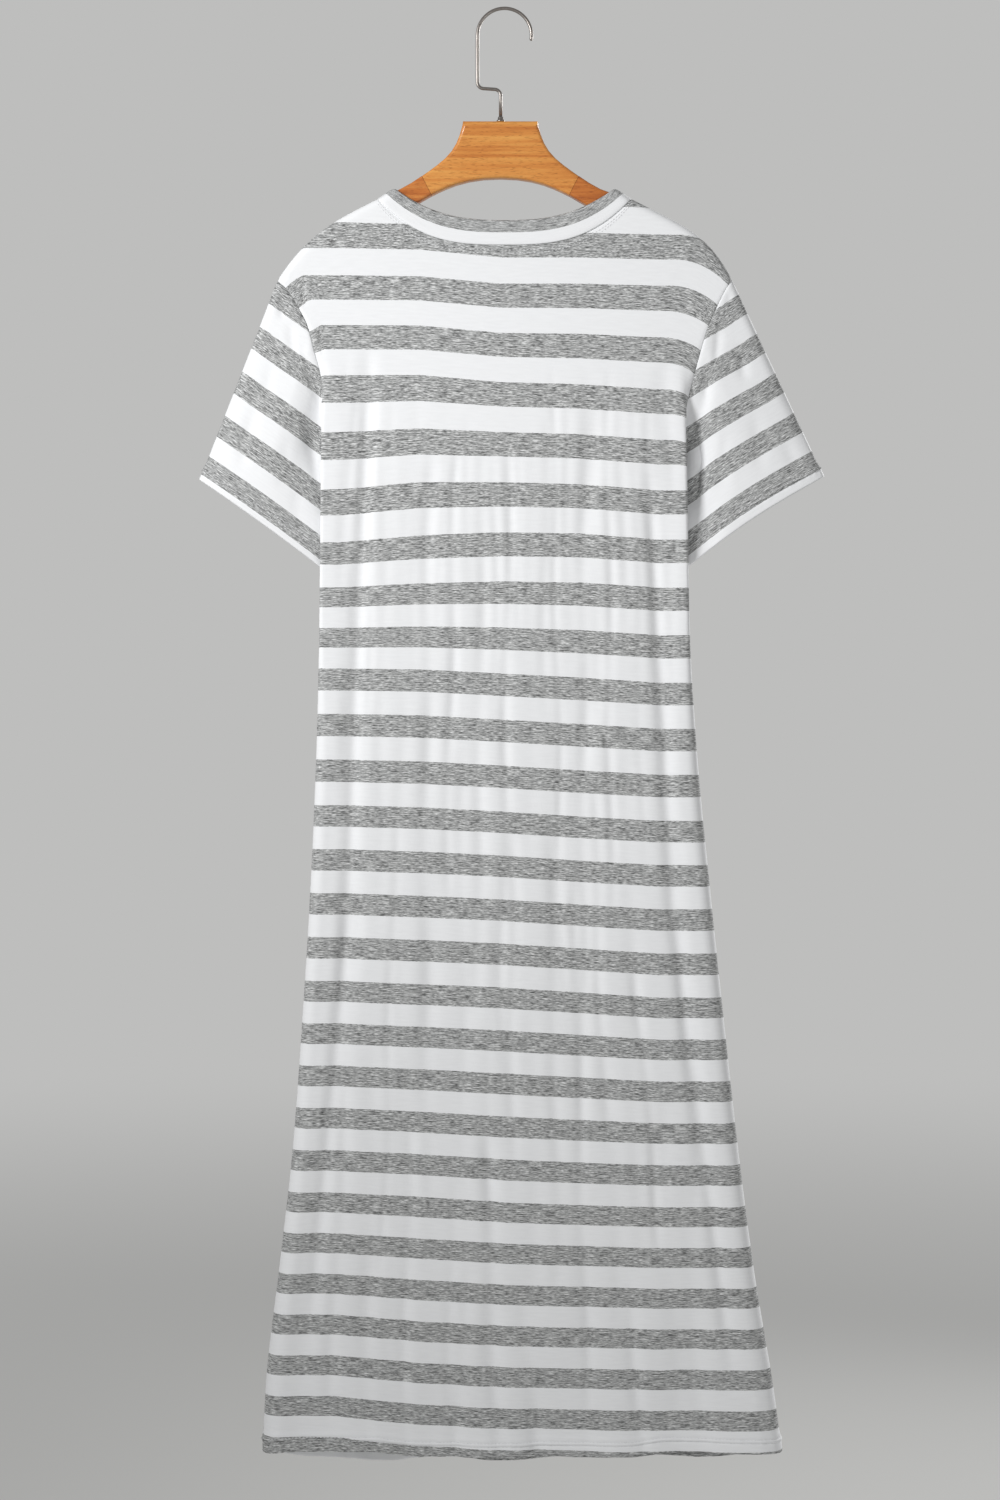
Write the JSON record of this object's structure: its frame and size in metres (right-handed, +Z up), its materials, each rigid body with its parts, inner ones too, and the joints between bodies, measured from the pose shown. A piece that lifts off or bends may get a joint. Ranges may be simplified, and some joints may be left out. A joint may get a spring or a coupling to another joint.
{
  "type": "t-shirt dress on a wooden hanger",
  "caption": "Midi t-shirt dress of striped jersey with short sleeves and a round neckband, hanging flat and open on a wooden hanger with a wire hook.",
  "frame": {"origin": "inner top of the hanger's wire hook, where it rests on a rod", "axes": "+Z up, X across the shoulders with the wearer's left side at -X, the dress's back faces -Y and its front +Y"},
  "size_m": [0.6011, 0.0596, 1.3992],
  "materials": {
    "striped_jersey": "soft viscose jersey, heather grey and white stripes",
    "hanger_wood": "satin lacquered beech",
    "arm_wood": "satin lacquered beech, darker",
    "hook_steel": "plain drawn wire"
  },
  "bodies": {
    "root": {"back": "striped_jersey", "front": "striped_jersey", "sleeve_left": "striped_jersey", "sleeve_right": "striped_jersey", "neckband": "striped_jersey", "hanger_centre": "hanger_wood", "hanger_arm_left": "arm_wood", "hanger_arm_right": "arm_wood", "hook": "hook_steel", "hook_collar": "hook_steel"}
  },
  "joints": []
}
